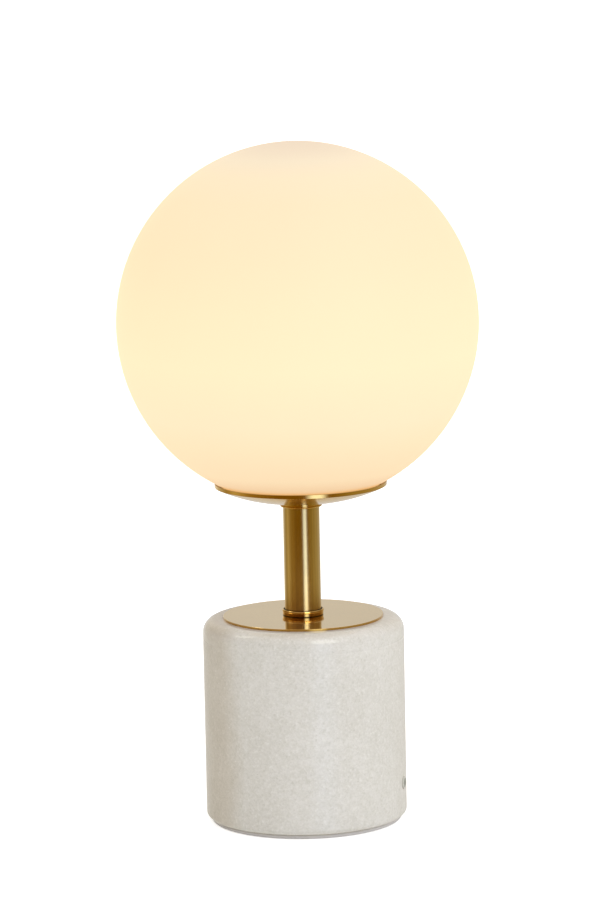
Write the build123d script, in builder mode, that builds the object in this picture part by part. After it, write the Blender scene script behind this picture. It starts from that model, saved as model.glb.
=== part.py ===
from build123d import *
import math
import os

# Table lamp: an opal glass globe in a shallow brass dish, on a short brass
# stem that stands on a round marble block.
# Millimetres, +Z up. The origin is the centre of the foot pad's underside and
# the cord outlet faces +X.

# ---- Base: marble block on a soft pad ----
pad_thickness = 2.5
pad_inset = 2.1  # the pad is this much smaller than the marble, all round
base_radius = 56.0
base_height = 112.0
base_top_round = 7.5
base_bottom_round = 3.0
pad_edge = 0.6  # round on the pad's lower edge
recess_radius = 35.0  # hollow under the marble, where the cord turns up
recess_depth = 30.0
base_hole_clearance = 0.5  # round the rod, in the drilled marble

# ---- Cord outlet in the side of the marble ----
outlet_height = 22.0  # above the floor
bushing_bore_radius = 2.5
bushing_wall = 0.35
bushing_length = 12.0
bushing_flange = 0.3  # how far the flange covers the hole's edge
bushing_flange_thickness = 1.0
bushing_chamfer = 0.3
bushing_fit = 0.1  # between the sleeve and its hole
spot_face_depth = 0.2
spot_face_clearance = 0.3

# ---- Threaded rod, nuts and washers (M10 x 1 lamp pipe) ----
rod_radius = 5.0
rod_bore_radius = 3.6
rod_clearance = 0.25  # round the rod, in the plates it goes through
thread_gap = 0.05  # between a thread and its nut, drawn plain
rod_tail = 3.7  # below the lowest nut
nut_across_flats = 14.0
base_nut_height = 4.0
slim_nut_height = 3.0
nut_chamfer = 0.5  # at the ends of a nut's bore
nut_face_inset = 0.35  # from a nut's flats to the round edge of its faces
nut_corner_angle = 30.0  # slope of the cones that ease its corners
lock_washer_radius = 8.6
lock_washer_thickness = 0.8
lock_washer_teeth = 12
lock_washer_tooth = 1.6  # depth of the gaps between its teeth
base_washer_radius = 20.0
base_washer_thickness = 2.0

# ---- Stem: cover disc, two collars and the tube between them ----
disc_radius = 44.5
disc_thickness = 1.2
disc_edge = 0.1
stem_length = 63.9  # from the cover disc's top to the dish's underside
tube_radius = 10.15
tube_wall = 1.0
collar_radius = 11.3
lower_collar_height = 3.3
upper_collar_height = 2.8
collar_floor = 0.8
collar_wall = 0.45
collar_undercut = 0.35  # cone at the foot of the cup
bead_height = 1.3  # rolled lip round the cup's mouth
bead_reach = 0.35  # how far the lip stands out from the cup
spigot_height = 2.0  # rises inside the tube and centres it
spigot_wall = 1.2
spigot_fit = 0.05

# ---- Dish that carries the globe ----
dish_radius = 47.8
dish_wall = 1.2
dish_floor_radius = 8.0
dish_depth = 9.0  # from the floor's underside to the foot of the rim
dish_rim_wall = 0.9
rim_glass_gap = 0.4  # between the rim's top and the glass above it

# ---- Glass globe and the ring that it stands on ----
globe_radius = 100.0
globe_wall = 3.0
glass_inset = 3.4  # from the rim's inner face to the glass's ground edge
gasket_edge = 1.2  # thickness under the glass's outer edge
gasket_lip = 0.7  # how far the ring reaches outside the glass
gasket_width = 4.7

# ---- Spring clips inside the globe's mouth ----
clip_count = 3
clip_first_angle = 60.0
clip_thickness = 0.6
clip_width = 8.0
clip_bend = 2.0
clip_hub_radius = 12.0
clip_spacer_radius = 8.0
clip_spacer_height = 2.4
clip_arm_flat = 20.0  # radius where an arm starts to climb
clip_rise = 2.2  # from the glass's edge up to the arm's upright
clip_upright = 7.5
clip_tip_height = 4.0
clip_tip_inward = 3.0
clip_clearance = 0.3  # between a sleeve and the glass's mouth
sleeve_wall = 0.7
sleeve_end = 1.5  # bare arm left below and above each sleeve

# ---- Lampholder (small Edison screw, E14) ----
holder_lift = 16.1  # bare rod between the dish nut and the holder's nut
holder_radius = 14.0
holder_cap_height = 13.0
holder_cap_chamfer = 3.5
holder_cap_wall = 1.8
grip_count = 20  # grooves round the cap
grip_radius = 0.9
grip_depth = 0.45
grip_end = 1.2  # plain cap left above and below the grooves
holder_mouth_radius = 13.0
holder_body_height = 27.0
holder_lap = 4.0  # the body's spigot inside the cap
holder_lap_wall = 1.1
holder_fit = 0.1
holder_ledge_thickness = 1.5
nipple_radius = 7.0
nipple_height = 9.0
rod_engagement = 8.0
core_height = 5.0
contact_depth = 15.0  # from the holder's underside up to the bulb's contact
shell_wall = 0.4
shell_flange = 0.5
shell_height = 20.0
contact_width = 4.0
contact_thickness = 0.4
contact_half_length = 4.6
contact_gap = 0.15
terminal_offset = 8.9  # from the axis to the middle of a terminal
terminal_size = 3.2
terminal_breadth = 4.6
terminal_drop = 3.5  # below the core
screw_radius = 1.2
screw_head_radius = 1.5
screw_head_height = 1.3
screw_height = 1.7  # above the terminal's foot
screw_slot = 0.5

# ---- Bulb (golf-ball lamp with an E14 cap) ----
bulb_radius = 22.5
bulb_length = 80.0
bulb_cap_radius = 6.95
bulb_cap_length = 17.0
bulb_thread_gap = 0.1
bulb_tip_radius = 2.3
bulb_tip_height = 1.4
bulb_insulator_height = 3.0
bulb_insulator_radius = 6.2
bulb_cap_lead = 0.7  # cone at the cap's foot
bulb_neck_radius = 8.2
bulb_neck_length = 4.0
bulb_seam_radius = 19.3  # where the dome meets the housing

# ---- Levels, from the floor up ----
base_foot = pad_thickness
base_top = base_foot + base_height
recess_top = base_foot + recess_depth
disc_top = base_top + disc_thickness
dish_foot = disc_top + stem_length
dish_floor = dish_foot + dish_wall

# The dish's underside is flat in the middle, then one arc up to the rim.
bowl_span = dish_radius - dish_floor_radius
bowl_radius = (bowl_span**2 + dish_depth**2) / (2 * dish_depth)
bowl_centre = dish_foot + bowl_radius
rim_inner_radius = dish_radius - dish_rim_wall


def dish_inside(radius):
    """Height of the dish's inner face at a radius from the axis."""
    inner = bowl_radius - dish_wall
    return bowl_centre - math.sqrt(inner**2 - (radius - dish_floor_radius) ** 2)


# The globe's edge is ground flat and stands on the gasket.
glass_edge_radius = rim_inner_radius - glass_inset
glass_edge = dish_inside(glass_edge_radius) + gasket_edge
globe_rise = math.sqrt(globe_radius**2 - glass_edge_radius**2)
globe_centre = glass_edge + globe_rise
globe_inner_radius = globe_radius - globe_wall
mouth_radius = math.sqrt(globe_inner_radius**2 - globe_rise**2)
rim_top = globe_centre - math.sqrt(globe_radius**2 - rim_inner_radius**2) - rim_glass_gap

# Inside the dish: spacer, clips, lock washer and nut, then the lampholder.
clip_foot = dish_floor + clip_spacer_height
dish_lock_washer_foot = clip_foot + clip_thickness
dish_nut_foot = dish_lock_washer_foot + lock_washer_thickness
holder_nut_foot = dish_nut_foot + slim_nut_height + holder_lift
holder_foot = holder_nut_foot + slim_nut_height
holder_joint = holder_foot + holder_cap_height
core_foot = holder_foot + nipple_height
core_top = core_foot + core_height
bulb_foot = holder_foot + contact_depth

# Under the marble: washer, lock washer, nut and the rod's tail.
base_washer_foot = recess_top - base_washer_thickness
base_lock_washer_foot = base_washer_foot - lock_washer_thickness
base_nut_foot = base_lock_washer_foot - base_nut_height
rod_foot = base_nut_foot - rod_tail
rod_top = holder_foot + rod_engagement

rod_hole = rod_radius + rod_clearance
bushing_radius = bushing_bore_radius + bushing_wall
bushing_hole = bushing_radius + bushing_fit
bushing_flange_radius = bushing_hole + bushing_flange
spigot_radius = tube_radius - tube_wall - spigot_fit
outlet_face = Plane(origin=(base_radius - spot_face_depth, 0, outlet_height), z_dir=(1, 0, 0))


def level(height):
    """Horizontal plane at a height above the floor."""
    return Plane.XY.offset(height)


def washer(foot, thickness, outer, inner):
    """Flat ring round the axis."""
    with BuildPart() as ring:
        with BuildSketch(level(foot)):
            Circle(outer)
            Circle(inner, mode=Mode.SUBTRACT)
        extrude(amount=thickness)
    return ring


def lock_washer(foot):
    """Thin ring with external teeth."""
    with BuildPart() as ring:
        with BuildSketch(level(foot)):
            Circle(lock_washer_radius)
            Circle(rod_hole, mode=Mode.SUBTRACT)
            gap = math.pi * lock_washer_radius / lock_washer_teeth
            with PolarLocations(lock_washer_radius, lock_washer_teeth):
                Rectangle(2 * lock_washer_tooth, gap, mode=Mode.SUBTRACT)
        extrude(amount=lock_washer_thickness)
    return ring


def hex_nut(foot, height):
    """Hexagon nut with coned corners, bored plain for the rod."""
    face_radius = nut_across_flats / 2 - nut_face_inset
    corner_radius = nut_across_flats / math.sqrt(3)
    cone = (corner_radius - face_radius) * math.tan(math.radians(nut_corner_angle))
    with BuildPart() as nut:
        with BuildSketch(level(foot)):
            RegularPolygon(nut_across_flats / 2, 6, major_radius=False)
            Circle(rod_radius + thread_gap, mode=Mode.SUBTRACT)
        extrude(amount=height)
        chamfer(nut.edges().filter_by(GeomType.CIRCLE), nut_chamfer)
        with BuildSketch(Plane.XZ):
            with BuildLine():
                Polyline(
                    (0, foot),
                    (face_radius, foot),
                    (corner_radius, foot + cone),
                    (corner_radius, foot + height - cone),
                    (face_radius, foot + height),
                    (0, foot + height),
                    close=True,
                )
            make_face()
        revolve(axis=Axis.Z, mode=Mode.INTERSECT)
    return nut


def tube_collar(seat, collar_height):
    """Cup with a rolled lip that holds one end of the tube, its floor on the seat plane."""
    section = Plane(origin=seat.origin, x_dir=seat.x_dir, z_dir=seat.x_dir.cross(seat.z_dir))
    bead_foot = collar_height - bead_height
    cup_radius = collar_radius - collar_wall
    spigot_top = collar_floor + spigot_height
    with BuildPart() as cup:
        with BuildSketch(section):
            with BuildLine():
                wall = Polyline(
                    (rod_hole, 0),
                    (collar_radius - collar_undercut, 0),
                    (collar_radius, collar_undercut),
                    (collar_radius, bead_foot),
                )
                bead_middle = (collar_radius + bead_reach, bead_foot + bead_height / 2)
                lip = ThreePointArc(wall @ 1, bead_middle, (collar_radius, collar_height))
                Polyline(
                    lip @ 1,
                    (cup_radius, collar_height),
                    (cup_radius, collar_floor),
                    (spigot_radius, collar_floor),
                    (spigot_radius, spigot_top),
                    (spigot_radius - spigot_wall, spigot_top),
                    (spigot_radius - spigot_wall, collar_floor),
                    (rod_hole, collar_floor),
                    (rod_hole, 0),
                )
            make_face()
        revolve(axis=Axis.Z)
    return cup


# ---- Base ----
with BuildPart() as foot_pad:
    with BuildSketch():
        Circle(base_radius - pad_inset)
    extrude(amount=pad_thickness)
    fillet(foot_pad.edges().sort_by(Axis.Z)[0], pad_edge)

with BuildPart() as marble_base:
    with BuildSketch(level(base_foot)):
        Circle(base_radius)
    extrude(amount=base_height)
    fillet(marble_base.edges().sort_by(Axis.Z)[-1], base_top_round)
    fillet(marble_base.edges().sort_by(Axis.Z)[0], base_bottom_round)
    with BuildSketch(level(base_foot)):
        Circle(recess_radius)
    extrude(amount=recess_depth, mode=Mode.SUBTRACT)
    with BuildSketch(level(recess_top)):
        Circle(rod_radius + base_hole_clearance)
    extrude(until=Until.LAST, mode=Mode.SUBTRACT)
    with BuildSketch(outlet_face):
        Circle(bushing_hole)
    extrude(amount=recess_radius - base_radius, mode=Mode.SUBTRACT)
    with BuildSketch(outlet_face):
        Circle(bushing_flange_radius + spot_face_clearance)
    extrude(amount=base_radius, mode=Mode.SUBTRACT)

# The bushing lines the cord hole and its flange covers the hole's edge.
with BuildPart() as cord_bushing:
    with BuildSketch(outlet_face):
        Circle(bushing_flange_radius)
    extrude(amount=bushing_flange_thickness)
    chamfer(cord_bushing.edges().sort_by(Axis.X)[-1], bushing_chamfer)
    with BuildSketch(outlet_face):
        Circle(bushing_radius)
    extrude(amount=-bushing_length)
    with BuildSketch(outlet_face.offset(-bushing_length)):
        Circle(bushing_bore_radius)
    extrude(until=Until.LAST, mode=Mode.SUBTRACT)

base_washer = washer(base_washer_foot, base_washer_thickness, base_washer_radius, rod_hole)
base_lock_washer = lock_washer(base_lock_washer_foot)
base_nut = hex_nut(base_nut_foot, base_nut_height)

# One hollow rod clamps the whole lamp together and carries the cord.
with BuildPart() as threaded_rod:
    with BuildSketch(level(rod_foot)):
        Circle(rod_radius)
        Circle(rod_bore_radius, mode=Mode.SUBTRACT)
    extrude(amount=rod_top - rod_foot)

# ---- Stem ----
with BuildPart() as cover_disc:
    with BuildSketch(level(base_top)):
        Circle(disc_radius)
    extrude(amount=disc_thickness)
    chamfer(cover_disc.edges().sort_by(Axis.Z)[-1], disc_edge)
    with BuildSketch(level(base_top)):
        Circle(rod_hole)
    extrude(amount=disc_thickness, mode=Mode.SUBTRACT)

lower_collar = tube_collar(level(disc_top), lower_collar_height)
upper_seat = Plane(origin=(0, 0, dish_foot), z_dir=(0, 0, -1))
upper_collar = tube_collar(upper_seat, upper_collar_height)

with BuildPart() as stem_tube:
    with BuildSketch(level(disc_top + collar_floor)):
        Circle(tube_radius)
        Circle(tube_radius - tube_wall, mode=Mode.SUBTRACT)
    extrude(amount=stem_length - 2 * collar_floor)

# ---- Dish, gasket and globe ----
with BuildPart() as globe_dish:
    with BuildSketch(Plane.XZ):
        with BuildLine():
            underside = Line((rod_hole, dish_foot), (dish_floor_radius, dish_foot))
            rim_foot = (dish_radius, dish_foot + dish_depth)
            RadiusArc(underside @ 1, rim_foot, -bowl_radius)
            Line(rim_foot, (dish_radius, rim_top))
            Line((dish_radius, rim_top), (rim_inner_radius, rim_top))
            inner_corner = (rim_inner_radius, dish_inside(rim_inner_radius))
            Line((rim_inner_radius, rim_top), inner_corner)
            RadiusArc(inner_corner, (dish_floor_radius, dish_floor), bowl_radius - dish_wall)
            Line((dish_floor_radius, dish_floor), (rod_hole, dish_floor))
            Line((rod_hole, dish_floor), underside @ 0)
        make_face()
    revolve(axis=Axis.Z)

# Soft ring: flat on top for the glass, shaped to the bowl underneath.
with BuildPart() as glass_gasket:
    gasket_outer = glass_edge_radius + gasket_lip
    gasket_inner = gasket_outer - gasket_width
    with BuildSketch(Plane.XZ):
        with BuildLine():
            inner_foot = (gasket_inner, dish_inside(gasket_inner))
            outer_foot = (gasket_outer, dish_inside(gasket_outer))
            RadiusArc(inner_foot, outer_foot, -(bowl_radius - dish_wall))
            Line(outer_foot, (gasket_outer, glass_edge))
            Line((gasket_outer, glass_edge), (gasket_inner, glass_edge))
            Line((gasket_inner, glass_edge), inner_foot)
        make_face()
    revolve(axis=Axis.Z)

# Blown shell of even thickness, ground flat where it stands on the gasket.
with BuildPart() as glass_globe:
    with Locations((0, 0, globe_centre)):
        Sphere(globe_radius)
        Sphere(globe_inner_radius, mode=Mode.SUBTRACT)
    split(bisect_by=level(glass_edge))

# ---- Spring clips ----
clip_spacer = washer(dish_floor, clip_spacer_height, clip_spacer_radius, rod_hole)

clip_middle = clip_foot + clip_thickness / 2
upright_radius = mouth_radius - clip_clearance - sleeve_wall - clip_thickness / 2
upright_foot = (upright_radius, glass_edge + clip_rise)
upright_top = (upright_radius, glass_edge + clip_rise + clip_upright)
clip_tip = (upright_radius - clip_tip_inward, upright_top[1] + clip_tip_height)

with BuildPart() as clip_arm:
    with BuildSketch(Plane.XZ.offset(-clip_width / 2)):
        with BuildLine():
            FilletPolyline(
                (clip_hub_radius - clip_bend, clip_middle),
                (clip_arm_flat, clip_middle),
                upright_foot,
                upright_top,
                clip_tip,
                radius=clip_bend,
            )
        trace(line_width=clip_thickness)
    extrude(amount=clip_width)

# A stamped spring: a hub under the nut and one bent arm for each clip.
with BuildPart() as clip_spring:
    with BuildSketch(level(clip_foot)):
        Circle(clip_hub_radius)
        Circle(rod_hole, mode=Mode.SUBTRACT)
    extrude(amount=clip_thickness)
    with PolarLocations(0, clip_count, start_angle=clip_first_angle):
        add(clip_arm.part)

# Soft sleeves on the uprights keep the metal off the glass.
with BuildPart() as clip_sleeves:
    sleeve_length = clip_upright - 2 * sleeve_end
    sleeve_middle = glass_edge + clip_rise + clip_upright / 2
    with PolarLocations(upright_radius, clip_count, start_angle=clip_first_angle):
        with Locations((0, 0, sleeve_middle)):
            Box(clip_thickness + 2 * sleeve_wall, clip_width + 2 * sleeve_wall, sleeve_length)
            Box(clip_thickness, clip_width, sleeve_length, mode=Mode.SUBTRACT)

dish_lock_washer = lock_washer(dish_lock_washer_foot)
dish_nut = hex_nut(dish_nut_foot, slim_nut_height)

# ---- Lampholder ----
holder_nut = hex_nut(holder_nut_foot, slim_nut_height)
holder_nipple = washer(holder_foot, nipple_height, nipple_radius, rod_radius + thread_gap)

holder_inner = holder_radius - holder_cap_wall
with BuildPart() as holder_cap:
    with BuildSketch(level(holder_foot)):
        Circle(holder_radius)
    extrude(amount=holder_cap_height)
    chamfer(holder_cap.edges().sort_by(Axis.Z)[0], holder_cap_chamfer)
    with BuildSketch(level(holder_foot + holder_cap_wall)):
        Circle(holder_inner)
    extrude(amount=holder_cap_height, mode=Mode.SUBTRACT)
    with BuildSketch(level(holder_foot)):
        Circle(nipple_radius)
    extrude(amount=holder_cap_height, mode=Mode.SUBTRACT)
    with BuildSketch(level(holder_foot + holder_cap_chamfer + grip_end)):
        with PolarLocations(holder_radius + grip_radius - grip_depth, grip_count):
            Circle(grip_radius)
    extrude(amount=holder_cap_height - holder_cap_chamfer - 2 * grip_end, mode=Mode.SUBTRACT)

lap_radius = holder_inner - holder_fit
lap_inner = lap_radius - holder_lap_wall
shell_inner = bulb_cap_radius + bulb_thread_gap
shell_outer = shell_inner + shell_wall
with BuildPart() as holder_body:
    with BuildSketch(Plane.XZ):
        with BuildLine():
            Polyline(
                (lap_inner, holder_joint - holder_lap),
                (lap_radius, holder_joint - holder_lap),
                (lap_radius, holder_joint),
                (holder_radius, holder_joint),
                (holder_mouth_radius, holder_joint + holder_body_height),
                (lap_inner, holder_joint + holder_body_height),
                (lap_inner, core_top + holder_ledge_thickness),
                (shell_outer + shell_flange + holder_fit, core_top + holder_ledge_thickness),
                (shell_outer + shell_flange + holder_fit, core_top),
                (lap_inner, core_top),
                close=True,
            )
        make_face()
    revolve(axis=Axis.Z)

with BuildPart() as holder_core:
    with BuildSketch(level(core_foot)):
        Circle(lap_inner - holder_fit)
        with PolarLocations(terminal_offset, 2):
            Rectangle(terminal_size, terminal_breadth, mode=Mode.SUBTRACT)
    extrude(amount=core_height)

with BuildPart() as screw_shell:
    with BuildSketch(level(core_top)):
        Circle(shell_outer + shell_flange)
    extrude(amount=shell_wall)
    with BuildSketch(level(core_top)):
        Circle(shell_outer)
    extrude(amount=shell_height)
    with BuildSketch(level(core_top)):
        Circle(shell_inner)
    extrude(amount=shell_height, mode=Mode.SUBTRACT)

# Bent spring strip that presses on the bulb's foot contact.
with BuildPart() as centre_contact:
    strip_foot = core_top + contact_thickness / 2
    strip_top = bulb_foot - contact_gap - contact_thickness / 2
    with BuildSketch(Plane.XZ.offset(-contact_width / 2)):
        with BuildLine():
            Polyline(
                (-contact_half_length, strip_foot),
                (-contact_half_length / 2, strip_foot),
                (-contact_half_length / 4, strip_top),
                (contact_half_length / 4, strip_top),
                (contact_half_length / 2, strip_foot),
            )
        trace(line_width=contact_thickness)
    extrude(amount=contact_width)

# The terminals stand in the core's slots, and each has a clamping screw.
terminal_foot = core_foot - terminal_drop


def terminal_face(side):
    """Outer face of a terminal at its screw's height, on the +X or -X side."""
    reach = terminal_offset + (terminal_size - holder_fit) / 2
    return Plane(origin=(side * reach, 0, terminal_foot + screw_height), z_dir=(side, 0, 0))


with BuildPart() as terminals:
    with BuildSketch(level(terminal_foot)):
        with PolarLocations(terminal_offset, 2):
            Rectangle(terminal_size - holder_fit, terminal_breadth - holder_fit)
    extrude(amount=terminal_drop + core_height)
    for side in (1, -1):
        with BuildSketch(terminal_face(side)):
            Circle(screw_radius + thread_gap)
        extrude(amount=-terminal_size / 2, mode=Mode.SUBTRACT)

with BuildPart() as terminal_screws:
    for side in (1, -1):
        with BuildSketch(terminal_face(side)):
            Circle(screw_head_radius)
        extrude(amount=screw_head_height)
        with BuildSketch(terminal_face(side)):
            Circle(screw_radius)
        extrude(amount=-terminal_size / 2)
        with BuildSketch(terminal_face(side).offset(screw_head_height)):
            Rectangle(2 * screw_head_radius, screw_slot)
        extrude(amount=-screw_head_height / 2, mode=Mode.SUBTRACT)

# ---- Bulb ----
insulator_foot = bulb_foot + bulb_tip_height
bulb_cap_foot = insulator_foot + bulb_insulator_height
bulb_cap_top = bulb_cap_foot + bulb_cap_length
dome_centre = bulb_foot + bulb_length - bulb_radius
seam = dome_centre - math.sqrt(bulb_radius**2 - bulb_seam_radius**2)

with BuildPart() as bulb_tip:
    with BuildSketch(level(bulb_foot)):
        Circle(bulb_tip_radius)
    extrude(amount=bulb_tip_height)
    chamfer(bulb_tip.edges().sort_by(Axis.Z)[0], bulb_tip_height / 2)

with BuildPart() as bulb_insulator:
    with BuildSketch(level(insulator_foot)):
        Circle(bulb_tip_radius)
    with BuildSketch(level(bulb_cap_foot)):
        Circle(bulb_insulator_radius)
    loft()

with BuildPart() as bulb_cap:
    with BuildSketch(level(bulb_cap_foot)):
        Circle(bulb_cap_radius)
    extrude(amount=bulb_cap_length)
    chamfer(bulb_cap.edges().sort_by(Axis.Z)[0], bulb_cap_lead)

with BuildPart() as bulb_housing:
    with BuildSketch(level(bulb_cap_top)):
        Circle(bulb_neck_radius)
    extrude(amount=bulb_neck_length)
    with BuildSketch(level(bulb_cap_top + bulb_neck_length)):
        Circle(bulb_neck_radius)
    with BuildSketch(level(seam)):
        Circle(bulb_seam_radius)
    loft()

with BuildPart() as bulb_dome:
    with Locations((0, 0, dome_centre)):
        Sphere(bulb_radius)
    split(bisect_by=level(seam))

# ---- Files ----
pieces = {
    "foot_pad": foot_pad,
    "marble_base": marble_base,
    "cord_bushing": cord_bushing,
    "base_washer": base_washer,
    "base_lock_washer": base_lock_washer,
    "base_nut": base_nut,
    "threaded_rod": threaded_rod,
    "cover_disc": cover_disc,
    "lower_collar": lower_collar,
    "stem_tube": stem_tube,
    "upper_collar": upper_collar,
    "globe_dish": globe_dish,
    "glass_gasket": glass_gasket,
    "glass_globe": glass_globe,
    "clip_spacer": clip_spacer,
    "clip_spring": clip_spring,
    "clip_sleeves": clip_sleeves,
    "dish_lock_washer": dish_lock_washer,
    "dish_nut": dish_nut,
    "holder_nut": holder_nut,
    "holder_nipple": holder_nipple,
    "holder_cap": holder_cap,
    "holder_body": holder_body,
    "holder_core": holder_core,
    "screw_shell": screw_shell,
    "centre_contact": centre_contact,
    "terminals": terminals,
    "terminal_screws": terminal_screws,
    "bulb_tip": bulb_tip,
    "bulb_insulator": bulb_insulator,
    "bulb_cap": bulb_cap,
    "bulb_housing": bulb_housing,
    "bulb_dome": bulb_dome,
}
os.makedirs("parts", exist_ok=True)
for name, piece in pieces.items():
    piece.part.label = name
    export_step(piece.part, f"parts/{name}.step")
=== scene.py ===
import math

import bpy
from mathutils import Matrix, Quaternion, Vector


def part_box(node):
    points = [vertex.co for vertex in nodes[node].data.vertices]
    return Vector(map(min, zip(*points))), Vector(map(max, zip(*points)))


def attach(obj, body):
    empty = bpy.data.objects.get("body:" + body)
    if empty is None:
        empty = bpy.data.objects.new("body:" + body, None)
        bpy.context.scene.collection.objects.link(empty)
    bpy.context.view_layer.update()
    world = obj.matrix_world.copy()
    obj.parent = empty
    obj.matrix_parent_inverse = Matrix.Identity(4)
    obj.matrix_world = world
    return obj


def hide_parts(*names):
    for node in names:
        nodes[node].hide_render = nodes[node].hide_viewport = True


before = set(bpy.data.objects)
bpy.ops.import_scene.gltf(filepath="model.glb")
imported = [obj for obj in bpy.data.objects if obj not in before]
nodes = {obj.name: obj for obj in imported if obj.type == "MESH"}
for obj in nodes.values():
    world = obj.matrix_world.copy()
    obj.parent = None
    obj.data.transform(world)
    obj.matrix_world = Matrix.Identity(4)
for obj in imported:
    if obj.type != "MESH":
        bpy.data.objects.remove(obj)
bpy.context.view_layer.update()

# ---- Camera, fitted to the photograph ----
AZIMUTH = math.radians(15.0)
ELEVATION = math.radians(8.958)
ROLL = math.radians(-1.12)
DISTANCE = 2.5
LENS = 180.74  # millimetres, for a 36 mm sensor along the picture's height
AIM_HEIGHT = 0.20808
AIM_RIGHT = 0.00002
FARTHEST = 100  # where the camera's view ends, past the floor's edge

right = Vector((math.cos(AZIMUTH), math.sin(AZIMUTH), 0))
front = Vector((math.sin(AZIMUTH), -math.cos(AZIMUTH), 0))
back = front * math.cos(ELEVATION) + Vector((0, 0, math.sin(ELEVATION)))
aim = right * AIM_RIGHT + Vector((0, 0, AIM_HEIGHT))

camera = bpy.data.objects.new("camera", bpy.data.cameras.new("camera"))
bpy.context.scene.collection.objects.link(camera)
camera.data.lens = LENS
camera.data.clip_end = FARTHEST
camera.location = aim + back * DISTANCE
camera.rotation_mode = "QUATERNION"
camera.rotation_quaternion = (-back).to_track_quat("-Z", "Y") @ Quaternion((0, 0, 1), ROLL)
bpy.context.scene.camera = camera
bpy.context.scene.view_settings.view_transform = "Standard"


# ---- Node building ----
class Graph:
    """A node tree, with short ways to add nodes and join them."""

    def __init__(self, tree):
        self.tree = tree

    def node(self, kind, inputs=None, **settings):
        made = self.tree.nodes.new(kind)
        for key, value in settings.items():
            setattr(made, key, value)
        for key, value in (inputs or {}).items():
            self.feed(made.inputs[key], value)
        return made

    def feed(self, socket, value):
        """Link an output to a socket, or set the socket to a plain value."""
        if isinstance(value, bpy.types.NodeSocket):
            self.tree.links.new(value, socket)
        else:
            socket.default_value = value

    def math(self, operation, *values):
        made = self.tree.nodes.new("ShaderNodeMath")
        made.operation = operation
        for socket, value in zip(made.inputs, values):
            self.feed(socket, value)
        return made.outputs[0]

    def dot(self, vector, other):
        made = self.tree.nodes.new("ShaderNodeVectorMath")
        made.operation = "DOT_PRODUCT"
        self.feed(made.inputs[0], vector)
        made.inputs[1].default_value = other
        return made.outputs["Value"]

    def ramp(self, factor, stops):
        """Colours blended between (place, colour) stops."""
        made = self.tree.nodes.new("ShaderNodeValToRGB")
        elements = made.color_ramp.elements
        while len(elements) < len(stops):
            elements.new(0.5)
        for element, (place, colour) in zip(elements, stops):
            element.position = place
            element.color = (*colour, 1)
        self.feed(made.inputs[0], factor)
        return made.outputs[0]

    def mix(self, factor, first, second, blend="MIX"):
        made = self.tree.nodes.new("ShaderNodeMix")
        made.data_type = "RGBA"
        made.blend_type = blend
        self.feed(made.inputs["Factor"], factor)
        for name, value in (("A", first), ("B", second)):
            socket = [s for s in made.inputs if s.name == name and s.type == "RGBA"][0]
            self.feed(socket, (*value, 1) if isinstance(value, tuple) else value)
        return [s for s in made.outputs if s.type == "RGBA"][0]

    def noise(self, point, scale, detail=3.0, stretch=(1, 1, 1)):
        placed = self.node("ShaderNodeMapping", {"Vector": point, "Scale": stretch})
        settings = {"Vector": placed.outputs[0], "Scale": scale, "Detail": detail}
        return self.node("ShaderNodeTexNoise", settings).outputs["Fac"]

    def bump(self, height, distance):
        return self.node("ShaderNodeBump", {"Height": height, "Distance": distance}).outputs[0]

    def upward(self, vector):
        """The Z part of a vector."""
        return self.node("ShaderNodeSeparateXYZ", {"Vector": vector}).outputs["Z"]

    def climb(self, point, low, high):
        """How far up a point lies: nothing at the low height, one at the high one."""
        span = {"Value": self.upward(point), "From Min": low, "From Max": high}
        return self.node("ShaderNodeMapRange", span).outputs[0]

    def crevice(self, reach, low, high):
        """One in corners that other surfaces shut in, nothing out in the open."""
        shut = self.node("ShaderNodeAmbientOcclusion", {"Distance": reach}, samples=8)
        return self.ramp(shut.outputs["AO"], [(low, grey(1)), (high, grey(0))])


def grey(value):
    return (value, value, value)


WHITE = grey(1)

# ---- Studio: what lights the lamp and what its metal reflects ----
# Azimuths are in degrees round the lamp, from the camera towards the photograph's right.
# Rays that mirror see the panorama, other rays see the soft light, and the camera white.
world = bpy.data.worlds.new("studio")
bpy.context.scene.world = world
world.use_nodes = True
world.node_tree.nodes.clear()
studio = Graph(world.node_tree)
direction = studio.node("ShaderNodeTexCoord").outputs["Generated"]
to_right = studio.dot(direction, right)
to_front = studio.dot(direction, front)
turn = studio.math("ARCTAN2", to_right, to_front)
around = studio.math("MULTIPLY_ADD", turn, 0.5 / math.pi, 0.5)
overhead = studio.upward(direction)
lifted = studio.math("MULTIPLY_ADD", overhead, 0.5, 0.5)


def place(degrees):
    """Where an azimuth lies along the panorama, which runs from 0 to 1."""
    return 0.5 + degrees / 360


def panorama(stops):
    """Colours round the horizon, from (azimuth, colour) stops."""
    return studio.ramp(around, [(place(azimuth), colour) for azimuth, colour in stops])


def window(factor, low, high, soft):
    """One between low and high, fading to nothing within soft outside them."""
    stops = [(low - soft, grey(0)), (low, grey(1)), (high, grey(1)), (high + soft, grey(0))]
    return studio.ramp(factor, stops)


def glint(base, azimuths, heights, colour, soft=0.015):
    """A softbox that shows in reflections only. Its heights are sines of elevations."""
    wide = window(around, place(azimuths[0]), place(azimuths[1]), soft)
    tall = window(lifted, 0.5 + heights[0] / 2, 0.5 + heights[1] / 2, 0.02)
    return studio.mix(studio.math("MULTIPLY", wide, tall), base, colour)


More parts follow.
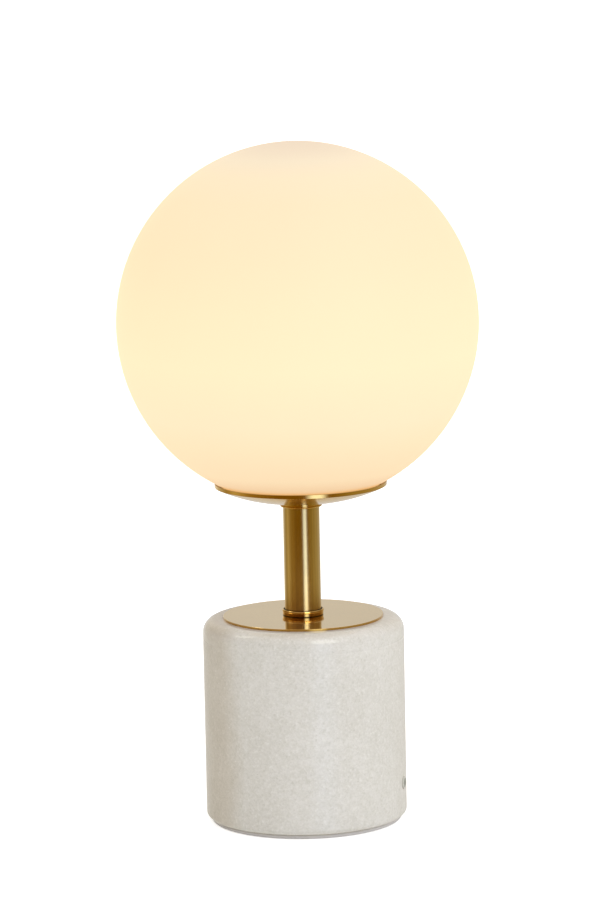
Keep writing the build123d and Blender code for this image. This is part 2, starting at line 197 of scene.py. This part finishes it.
room = panorama(
    [
        (-180, (0.73, 0.73, 0.74)),
        (-175, (0.73, 0.73, 0.74)),
        (-168, (0.95, 0.93, 0.9)),
        (-156, (0.85, 0.81, 0.72)),
        (-140, (0.6, 0.546, 0.423)),
        (-118, (0.4, 0.296, 0.112)),
        (-98, (0.6, 0.487, 0.24)),
        (-72, (0.36, 0.229, 0.048)),
        (-30, (0.23, 0.119, 0.004)),
        (10, (0.22, 0.115, 0.0024)),
        (40, (0.25, 0.143, 0.0096)),
        (70, (0.36, 0.267, 0.072)),
        (110, (0.46, 0.372, 0.176)),
        (150, (0.58, 0.526, 0.414)),
        (180, (0.73, 0.73, 0.74)),
    ]
)

# Above the horizon the room is dimmer, most of all in front of the lamp.
DIM_BACK = (0.93, 0.88, 0.80)
DIM_FRONT = (0.46, 0.30, 0.16)
dim = panorama([(-150, DIM_BACK), (-115, DIM_FRONT), (115, DIM_FRONT), (150, DIM_BACK)])
risen = studio.ramp(lifted, [(0.5, grey(0)), (0.53, grey(1))])
room = studio.mix(risen, room, studio.mix(1.0, room, dim, "MULTIPLY"))
above = studio.ramp(overhead, [(0.45, grey(0)), (0.85, grey(1))])
CEILING = grey(0.9)
reflected = studio.mix(above, room, CEILING)

# A tall softbox for the stem's bright line, and two high ones for the marble's top edge.
reflected = glint(reflected, (15, 27), (-0.4, 0.5), (1.45, 1.7, 2.2), soft=0.026)
reflected = glint(reflected, (14, 43), (0.52, 0.86), (5.0, 5.0, 4.8))
reflected = glint(reflected, (-106, -95), (0.66, 0.82), (4.0, 3.8, 3.3))

# Soft light on what doesn't mirror: dim and warm from the left, bright from above.
soft_light = studio.ramp(
    studio.math("MULTIPLY_ADD", to_right, 0.5, 0.5),
    [
        (0.0, (0.20, 0.177, 0.125)),
        (0.3, (0.352, 0.335, 0.293)),
        (0.5, (0.475, 0.467, 0.455)),
        (1.0, (0.455, 0.451, 0.445)),
    ],
)
soft_light = studio.mix(above, soft_light, (1.38, 1.35, 1.29))
path = studio.node("ShaderNodeLightPath")
lighting = studio.mix(path.outputs["Is Glossy Ray"], soft_light, reflected)
seen = studio.mix(path.outputs["Is Camera Ray"], lighting, WHITE)
background = studio.node("ShaderNodeBackground", {"Color": seen, "Strength": 1.0})
sky = studio.node("ShaderNodeOutputWorld")
world.node_tree.links.new(background.outputs[0], sky.inputs[0])


LAMP_MIDDLE = 0.2


def softbox(name, azimuth, elevation, distance, size, power, colour):
    """Soft area light aimed at the middle of the lamp, placed by its angle from the camera."""
    a, e = math.radians(azimuth), math.radians(elevation)
    aside = front * math.cos(a) + right * math.sin(a)
    away = aside * math.cos(e) + Vector((0, 0, math.sin(e)))
    lamp = bpy.data.objects.new(name, bpy.data.lights.new(name, "AREA"))
    bpy.context.scene.collection.objects.link(lamp)
    lamp.data.size = size
    lamp.data.energy = power
    lamp.data.color = colour
    lamp.location = Vector((0, 0, LAMP_MIDDLE)) + away * distance
    lamp.rotation_mode = "QUATERNION"
    lamp.rotation_quaternion = (-away).to_track_quat("-Z", "Y")
    lamp.visible_glossy = False


softbox("key_light", 50, 35, distance=1.6, size=0.9, power=4.2, colour=(1.0, 0.995, 0.98))

FLOOR = 30.0  # from the lamp to each side of the floor
floor_mesh = bpy.data.meshes.new("floor")
floor_mesh.from_pydata(
    [(-FLOOR, -FLOOR, 0), (FLOOR, -FLOOR, 0), (FLOOR, FLOOR, 0), (-FLOOR, FLOOR, 0)],
    [],
    [(0, 1, 2, 3)],
)
floor = bpy.data.objects.new("floor", floor_mesh)
bpy.context.scene.collection.objects.link(floor)
floor.visible_glossy = False


# ---- Materials ----
def material(name, **sockets):
    """A material with one Principled shader. Uniform values are set on its own sockets."""
    made = bpy.data.materials.new(name)
    made.use_nodes = True
    graph = Graph(made.node_tree)
    shader = made.node_tree.nodes["Principled BSDF"]
    for key, value in sockets.items():
        socket = shader.inputs[key.replace("_", " ")]
        socket.default_value = (*value, 1) if socket.type == "RGBA" else value
    point = graph.node("ShaderNodeTexCoord").outputs["Object"]
    return made, graph, shader, point


def tinted(colour, share):
    return tuple(share * channel for channel in colour)


# Pale paper that the camera sees a little brighter than the lamp does.
floor_look, g, shader, point = material(
    "floor_paper", Base_Color=grey(0.9), Emission_Color=WHITE, Roughness=0.95
)
lens = g.node("ShaderNodeLightPath").outputs["Is Camera Ray"]
g.feed(shader.inputs["Emission Strength"], g.math("MULTIPLY_ADD", lens, 0.5, 0.1))
floor_mesh.materials.append(floor_look)

looks = {}

# Marble: pale cloudy ground, grey mottling, fine dark and light specks, crystal grain with
# painted sparkle, a painted shade that darkens and warms one side, and painted shade with a
# painted warm reflection of the brass where it meets its neighbours. That side lies to the
# camera's left: its direction comes from the camera's azimuth, set above, and it stays with
# the stone in every other view.
look, g, shader, point = material("marble_polished", IOR=1.45)
clouds = g.noise(point, scale=22, detail=4.0)
ground = g.ramp(clouds, [(0.34, (0.775, 0.767, 0.745)), (0.58, (0.815, 0.809, 0.794))])
mottle = g.ramp(g.noise(point, scale=260), [(0.42, grey(0.35)), (0.60, grey(0))])
ground = g.mix(mottle, ground, (0.715, 0.71, 0.67))
speckle = g.noise(point, scale=640, detail=1.5)
dark = g.ramp(speckle, [(0.56, grey(0)), (0.74, grey(0.42))])
ground = g.mix(dark, ground, (0.60, 0.60, 0.55))
pale = g.ramp(speckle, [(0.28, grey(0.45)), (0.43, grey(0))])
ground = g.mix(pale, ground, (0.94, 0.94, 0.93))
drift = g.noise(point, scale=70, detail=2.0, stretch=(1, 1, 0.6))
drift = g.ramp(drift, [(0.5, grey(0)), (0.7, grey(0.2))])
ground = g.mix(drift, ground, (0.86, 0.858, 0.85))
grains = g.node("ShaderNodeTexVoronoi", {"Vector": point, "Scale": 1300.0})
grain = g.node("ShaderNodeSeparateColor", {"Color": grains.outputs["Color"]})
tint = g.ramp(grain.outputs["Red"], [(0.0, grey(0.95)), (1.0, grey(1.025))])
ground = g.mix(1.0, ground, tint, "MULTIPLY")
# Painted shade: the side to the camera's left is darker and warmer, with a wavy edge.
wavy = g.noise(point, scale=30, detail=2.0)
painted_side_shade = g.math("MULTIPLY_ADD", wavy, 0.012, g.dot(point, -right))
painted_side_shade = g.ramp(g.math("MULTIPLY", painted_side_shade, 10.0), [(0.40, grey(1)), (0.50, (0.87, 0.83, 0.78))])
ground = g.mix(1.0, ground, painted_side_shade, "MULTIPLY")
# Painted sparkle: rare crystal grains lightened in the base colour.
painted_sparkle = g.ramp(grain.outputs["Green"], [(0.990, grey(0)), (0.994, grey(0.35))])
ground = g.mix(painted_sparkle, ground, (0.93, 0.93, 0.92))
# Painted shade and a painted warm reflection of the brass: the stone turns dark brown in
# corners where it meets the disc and the pad.
painted_seam_shade = g.math("MULTIPLY", g.crevice(reach=0.0016, low=0.3, high=0.8), 0.85)
g.feed(shader.inputs["Base Color"], g.mix(painted_seam_shade, ground, (0.42, 0.22, 0.06)))
g.feed(shader.inputs["Normal"], g.bump(g.noise(point, scale=500, detail=2.0), 0.00001))

# The block is honed down its side and polished on its top round.
marble_low, marble_high = (corner[2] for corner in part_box("marble_base"))
polish = g.ramp(
    g.climb(point, marble_low, marble_high), [(0.90, grey(0.28)), (0.94, grey(0.07))]
)
g.feed(shader.inputs["Roughness"], polish)
looks["marble"] = look

LACQUER_ROUGHNESS = 0.05
QUARTER_TURN = 0.25


def metal(
    name,
    colour,
    roughness,
    stretch=(1, 1, 1),
    relief=0.000004,
    shade_and_tarnish=0.9,
    turned=0.0,
    lacquer=0.0,
    marks=0.12,
    edge=None,
):
    """Metal with cloudy tone, fine marks, and painted shade with tarnish in its corners.

    Roughness runs from the first value to the second across the marks. Turned metal
    shines across its turning marks, which run round the lamp's axis. Lacquer is a clear
    coat. Edge darkens and tints the faces that stand upright: painted shade, besides the
    darker colour of a sheared edge.
    """
    look, g, shader, point = material(name, Metallic=1.0)
    tone = g.ramp(g.noise(point, scale=40), [(0.3, tinted(colour, 0.95)), (0.7, colour)])
    streaks = g.noise(point, scale=900, detail=2.0, stretch=stretch)
    dull = g.ramp(streaks, [(0.45, grey(marks)), (0.6, grey(0))])
    tone = g.mix(dull, tone, tinted(colour, 0.6))
    # Painted shade: upright faces darkened and warmed, besides the sheared edge's own darker
    # colour.
    if edge:
        facing = g.upward(g.node("ShaderNodeNewGeometry").outputs["Normal"])
        side = g.ramp(g.math("ABSOLUTE", facing), [(0.3, edge), (0.8, grey(1))])
        tone = g.mix(1.0, tone, side, "MULTIPLY")
    # Painted shade with tarnish: dark metal in the corners that other surfaces shut in.
    tarnish_and_painted_shade = g.math("MULTIPLY", g.crevice(reach=0.0016, low=0.35, high=0.8), shade_and_tarnish)
    g.feed(shader.inputs["Base Color"], g.mix(tarnish_and_painted_shade, tone, tinted(colour, 0.12)))
    low, high = roughness
    g.feed(shader.inputs["Roughness"], g.math("MULTIPLY_ADD", streaks, high - low, low))
    g.feed(shader.inputs["Normal"], g.bump(streaks, relief))
    if lacquer:
        shader.inputs["Coat Weight"].default_value = lacquer
        shader.inputs["Coat Roughness"].default_value = LACQUER_ROUGHNESS
    if turned:
        shader.inputs["Anisotropic"].default_value = turned
        shader.inputs["Anisotropic Rotation"].default_value = QUARTER_TURN
        tangent = g.node("ShaderNodeTangent", direction_type="RADIAL", axis="Z")
        g.feed(shader.inputs["Tangent"], tangent.outputs[0])
    return look


BRASS = (0.80, 0.59, 0.24)
PALE_BRASS = (0.80, 0.615, 0.295)
WARM_BRASS = (0.80, 0.54, 0.19)
LENGTHWAYS = (1, 1, 0.01)  # marks drawn out along the stem
looks["brass_polished"] = metal(
    "brass_drawn",
    PALE_BRASS,
    roughness=(0.26, 0.33),
    stretch=LENGTHWAYS,
    relief=0.00001,
    turned=0.85,
    marks=0.3,
)
looks["brass_disc"] = metal(
    "brass_turned",
    BRASS,
    roughness=(0.07, 0.13),
    relief=0.000001,
    shade_and_tarnish=0.3,
    turned=0.6,
    lacquer=0.6,
    edge=(0.9, 0.74, 0.42),
)
looks["brass_plain"] = metal("brass_raw", BRASS, roughness=(0.25, 0.4), relief=0.00001)
looks["contact_brass"] = looks["brass_plain"]
spun_brass = metal(
    "brass_spun", WARM_BRASS, roughness=(0.12, 0.17), relief=0.000002, turned=0.4
)

STEEL = (0.62, 0.62, 0.60)
NICKEL = (0.74, 0.73, 0.70)
looks["zinc_steel"] = metal("steel_zinc", STEEL, roughness=(0.3, 0.5), relief=0.00001)
looks["spring_steel"] = metal(
    "steel_spring", STEEL, roughness=(0.2, 0.35), stretch=(1, 1, 0.1)
)
looks["nickel"] = metal("nickel_plate", NICKEL, roughness=(0.12, 0.22))

# Opal glass, lit from inside: its glow by height, from its ground edge to its top. Its lowest
# stops, darker and more orange just above the dish rim, are painted shade and a painted
# reflection of the brass.
GLASS_EDGE, GLASS_TOP = 0.189, 0.379
look, g, shader, point = material(
    "opal_glass_lit",
    Base_Color=(0.16, 0.158, 0.155),
    Roughness=0.6,
    Specular_IOR_Level=0.2,
    Emission_Strength=1.0,
)
glow = g.ramp(
    g.climb(point, GLASS_EDGE, GLASS_TOP),
    [
        (0.008, (0.80, 0.43, 0.14)),
        (0.022, (0.78, 0.52, 0.275)),
        (0.057, (0.85, 0.63, 0.365)),
        (0.109, (0.90, 0.658, 0.39)),
        (0.158, (0.93, 0.688, 0.412)),
        (0.229, (0.96, 0.722, 0.45)),
        (0.398, (0.975, 0.765, 0.465)),
        (0.557, (0.955, 0.745, 0.45)),
        (0.709, (0.92, 0.71, 0.43)),
        (0.853, (0.86, 0.685, 0.42)),
        (0.92, (0.85, 0.68, 0.434)),
        (0.96, (0.80, 0.655, 0.449)),
        (1.0, (0.71, 0.556, 0.396)),
    ],
)
flow = g.noise(point, scale=14, detail=2.0, stretch=(1, 1, 0.5))
flow = g.ramp(flow, [(0.3, grey(0.985)), (0.7, grey(1.0))])
g.feed(shader.inputs["Emission Color"], g.mix(1.0, glow, flow, "MULTIPLY"))
g.feed(shader.inputs["Normal"], g.bump(g.noise(point, scale=30, detail=1.0), 0.0001))
looks["opal_glass"] = look

# The bulb's frosted cover, lit from inside.
look, g, shader, point = material(
    "bulb_cover_lit",
    Base_Color=(0.16, 0.155, 0.145),
    Roughness=0.5,
    Emission_Strength=0.85,
)
frost = g.noise(point, scale=700, detail=2.0)
glow = g.ramp(frost, [(0.3, (1.0, 0.80, 0.48)), (0.7, (1.0, 0.83, 0.54))])
g.feed(shader.inputs["Emission Color"], glow)
g.feed(shader.inputs["Normal"], g.bump(frost, 0.00002))
looks["bulb_cover"] = look


def plain(name, colour, roughness, grain=700, relief=0.00002, shade_in_corners=0.35):
    """Plastic, rubber or ceramic: cloudy colour, moulded grain, and painted shade in its
    corners.
    """
    look, g, shader, point = material(name)
    tone = g.ramp(g.noise(point, scale=120), [(0.3, tinted(colour, 0.94)), (0.7, colour)])
    # Painted shade: darker colour in the corners that other surfaces shut in.
    painted_corner_shade = g.math("MULTIPLY", g.crevice(reach=0.002, low=0.4, high=0.85), shade_in_corners)
    g.feed(shader.inputs["Base Color"], g.mix(painted_corner_shade, tone, tinted(colour, 0.35)))
    texture = g.noise(point, scale=grain)
    g.feed(shader.inputs["Roughness"], g.math("MULTIPLY_ADD", texture, 0.15, roughness))
    g.feed(shader.inputs["Normal"], g.bump(texture, relief))
    return look


looks["pad"] = plain("pad_foam", (0.80, 0.785, 0.80), 0.6, 1500, 0.00006, shade_in_corners=0.1)
looks["nylon"] = plain("nylon_natural", (0.66, 0.67, 0.62), 0.4, shade_in_corners=0.0)
looks["silicone"] = plain("silicone_milky", (0.85, 0.84, 0.80), 0.45)
looks["holder_plastic"] = plain("holder_white", (0.84, 0.83, 0.79), 0.35, 1200, 0.00001)
looks["steatite"] = plain("steatite_bare", (0.86, 0.84, 0.77), 0.6, 900, 0.00004)
looks["bulb_plastic"] = plain("bulb_white", (0.88, 0.88, 0.86), 0.25, 1200, 0.000006)
looks["black_insulator"] = plain("glass_black", (0.04, 0.04, 0.05), 0.12, 400, 0.000006)
glue = plain("adhesive_amber", (0.50, 0.40, 0.12), 0.35, 300, 0.00005, shade_in_corners=0.0)

for node in nodes.values():
    node.material_slots[0].material = looks[node.material_slots[0].material.name]
for name in ("globe_dish", "lower_collar", "upper_collar"):
    nodes[name].material_slots[0].material = spun_brass


# ---- Pieces finer than the CAD solids ----
def angles(total, steps=8):
    """Even steps from nothing to the total."""
    return [total * step / steps for step in range(steps + 1)]


def lathe(name, profile, sides, shape=None):
    """Solid turned from a closed profile of (radius, height) points.

    A point at radius 0 is one corner on the axis. Shape, if given, moves each point by
    its radius, height and angle.
    """
    corners = []
    places = {}
    for step in range(sides):
        angle = 2 * math.pi * step / sides
        for row, (radius, height) in enumerate(profile):
            if radius == 0 and step:
                places[step, row] = places[0, row]
                continue
            places[step, row] = len(corners)
            if shape:
                radius, height = shape(radius, height, angle)
            corners.append((radius * math.cos(angle), radius * math.sin(angle), height))
    faces = []
    for step in range(sides):
        following = (step + 1) % sides
        for row in range(len(profile)):
            next_row = (row + 1) % len(profile)
            ring = (
                places[step, row],
                places[following, row],
                places[following, next_row],
                places[step, next_row],
            )
            face = tuple(dict.fromkeys(ring))
            if len(face) > 2:
                faces.append(face)
    mesh = bpy.data.meshes.new(name)
    mesh.from_pydata(corners, [], faces)
    mesh.shade_smooth()
    made = bpy.data.objects.new(name, mesh)
    bpy.context.scene.collection.objects.link(made)
    return made


def dress(piece, body, look):
    """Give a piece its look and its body."""
    piece.data.materials.append(look)
    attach(piece, body)


def thread(depth, pitch, crest, low, high):
    """Screw thread cut into the points of a profile that lie on the crest radius."""

    def cut(radius, height, angle):
        if abs(radius - crest) > depth:
            return radius, height
        turn = height / pitch - angle / (2 * math.pi)
        wave = 0.5 - 0.5 * math.cos(2 * math.pi * turn)
        ends = min(1.0, (height - low) / pitch, (high - height) / pitch)
        return radius - depth * (wave * ends + 1 - ends), height

    return cut


# The soft pad, pressed round at its lower edge.
PAD_RADIUS, PAD_EDGE, PAD_SIDES = 0.0531, 0.0014, 240
pad_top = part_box("foot_pad")[1][2]
rounded = [
    (PAD_RADIUS - PAD_EDGE * (1 - math.sin(a)), PAD_EDGE * (1 - math.cos(a)))
    for a in angles(math.pi / 2)
]
profile = [(0, 0), *rounded, (PAD_RADIUS, pad_top), (0, pad_top)]
pad = lathe("pad_pressed", profile, PAD_SIDES)
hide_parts("foot_pad")
dress(pad, "stand", looks["pad"])

# Bead of adhesive between the pad and the foot of the marble, a little uneven.
marble_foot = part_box("marble_base")[0][2]
BEAD_RADIUS, BEAD, BEAD_SWELL = 0.0530, 0.0005, 0.18


def uneven(radius, height, angle):
    swell = 1 + BEAD_SWELL * math.sin(5 * angle) * math.sin(23 * angle + 1)
    radius = BEAD_RADIUS + (radius - BEAD_RADIUS) * swell
    return radius, marble_foot + (height - marble_foot) * swell


bead = [
    (BEAD_RADIUS + BEAD * math.cos(a), marble_foot + BEAD * math.sin(a))
    for a in angles(math.pi)
]
adhesive = lathe("adhesive_bead", bead[::-1], PAD_SIDES, uneven)
dress(adhesive, "stand", glue)

# The threaded rod: M10 x 1 all along, hollow for the cord.
low, high = (corner[2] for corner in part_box("threaded_rod"))
ROD, ROD_BORE, ROD_PITCH, ROD_DEPTH = 0.005, 0.0036, 0.001, 0.0005
ROD_SIDES, ROWS_A_TURN = 36, 6
rows = round((high - low) / ROD_PITCH * ROWS_A_TURN)
outside = [(ROD, low + (high - low) * row / rows) for row in range(rows + 1)]
profile = [*outside, (ROD_BORE, high), (ROD_BORE, low)]
rod = lathe("rod_threads", profile, ROD_SIDES, thread(ROD_DEPTH, ROD_PITCH, ROD, low, high))
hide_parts("threaded_rod")
dress(rod, "stand", looks["zinc_steel"])

# The bulb's cap: rolled Edison thread of 2.82 mm pitch between plain ends.
low, high = (corner[2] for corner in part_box("bulb_cap"))
CAP, CAP_BORE, CAP_LEAD, CAP_PITCH, CAP_DEPTH = 0.00695, 0.003, 0.0007, 0.00282, 0.0005
CAP_PLAIN_END = 0.003  # above the thread
CAP_SIDES, CAP_ROWS = 64, 60
wall = high - low - CAP_LEAD
outside = [(CAP, low + CAP_LEAD + wall * row / CAP_ROWS) for row in range(CAP_ROWS + 1)]
profile = [(CAP_BORE, low), (CAP - CAP_LEAD, low), *outside, (CAP_BORE, high)]
rolled = thread(CAP_DEPTH, CAP_PITCH, CAP, low, high - CAP_PLAIN_END)
cap = lathe("bulb_cap_thread", profile, CAP_SIDES, rolled)
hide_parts("bulb_cap")
dress(cap, "bulb", looks["nickel"])
